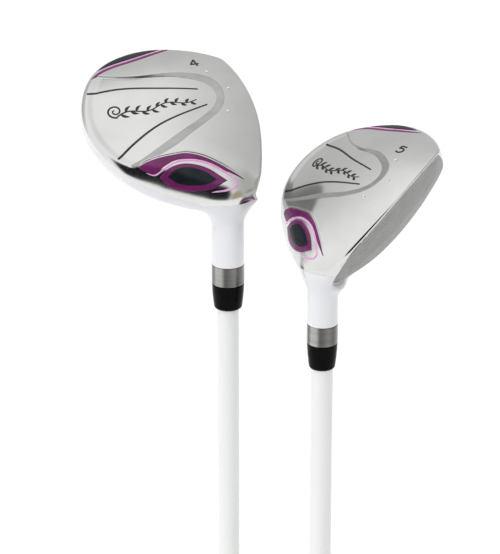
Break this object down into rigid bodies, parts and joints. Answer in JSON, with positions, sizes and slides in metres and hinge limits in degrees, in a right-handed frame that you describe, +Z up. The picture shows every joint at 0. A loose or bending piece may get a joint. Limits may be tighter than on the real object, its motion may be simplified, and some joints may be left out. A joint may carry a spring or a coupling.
{
  "type": "golf club set",
  "caption": "Two right-handed hybrid golf clubs stood heads up: polished soles with a sunk arrow field and leaf badges, white bodies and tapered shafts, dark grips.",
  "frame": {"origin": "centre of the flat butt face of the 4-hybrid's grip cap", "axes": "+Z up along both shafts towards the heads; with the origin's club, the face looks along +X turned 24.4 degrees towards +Y"},
  "size_m": [0.1544, 0.0981, 1.0155],
  "materials": {
    "white_paint": "gloss white lacquer",
    "polished_plate": "polished chrome plate",
    "brushed_face": "brushed across, with score lines",
    "bare_steel": "turned bare steel",
    "cast_steel": "rough cast, hidden inside",
    "plum_enamel": "gloss plum enamel",
    "pink_enamel": "gloss pale pink enamel",
    "black_enamel": "gloss black enamel",
    "black_paint": "satin black paint fill",
    "black_plastic": "gloss black",
    "white_shaft": "gloss white lacquer over composite",
    "epoxy": "cured glue",
    "tape": "crepe paper tape",
    "grip_rubber": "matt moulded rubber",
    "cap_rubber": "matt moulded rubber"
  },
  "bodies": {
    "four_club": {"four_crown_body": "white_paint", "four_sole_plate": "polished_plate", "four_face_plate": "brushed_face", "four_hosel_sleeve": "bare_steel", "four_back_weight": "cast_steel", "four_heel_badge_plum": "plum_enamel", "four_heel_badge_line": "pink_enamel", "four_heel_badge_eye": "black_enamel", "four_toe_badge_plum": "plum_enamel", "four_toe_badge_line": "pink_enamel", "four_toe_badge_eye": "black_enamel", "four_sole_lines": "black_paint", "four_sole_numeral": "black_paint", "four_ferrule": "black_plastic", "four_shaft": "white_shaft", "four_tip_weight": "cast_steel", "four_bond": "epoxy", "four_grip_tape": "tape", "four_grip": "grip_rubber", "four_grip_cap": "cap_rubber"},
    "five_club": {"five_crown_body": "white_paint", "five_sole_plate": "polished_plate", "five_face_plate": "brushed_face", "five_hosel_sleeve": "bare_steel", "five_back_weight": "cast_steel", "five_heel_badge_plum": "plum_enamel", "five_heel_badge_line": "pink_enamel", "five_heel_badge_eye": "black_enamel", "five_toe_badge_plum": "plum_enamel", "five_toe_badge_line": "pink_enamel", "five_toe_badge_eye": "black_enamel", "five_sole_lines": "black_paint", "five_sole_numeral": "black_paint", "five_ferrule": "black_plastic", "five_shaft": "white_shaft", "five_tip_weight": "cast_steel", "five_bond": "epoxy", "five_grip_tape": "tape", "five_grip": "grip_rubber", "five_grip_cap": "cap_rubber"}
  },
  "joints": [
    {"name": "five_lift", "type": "slide", "parent": "four_club", "child": "five_club", "axis": [0, 0, 1], "range_m": [0, 0.4]}
  ]
}
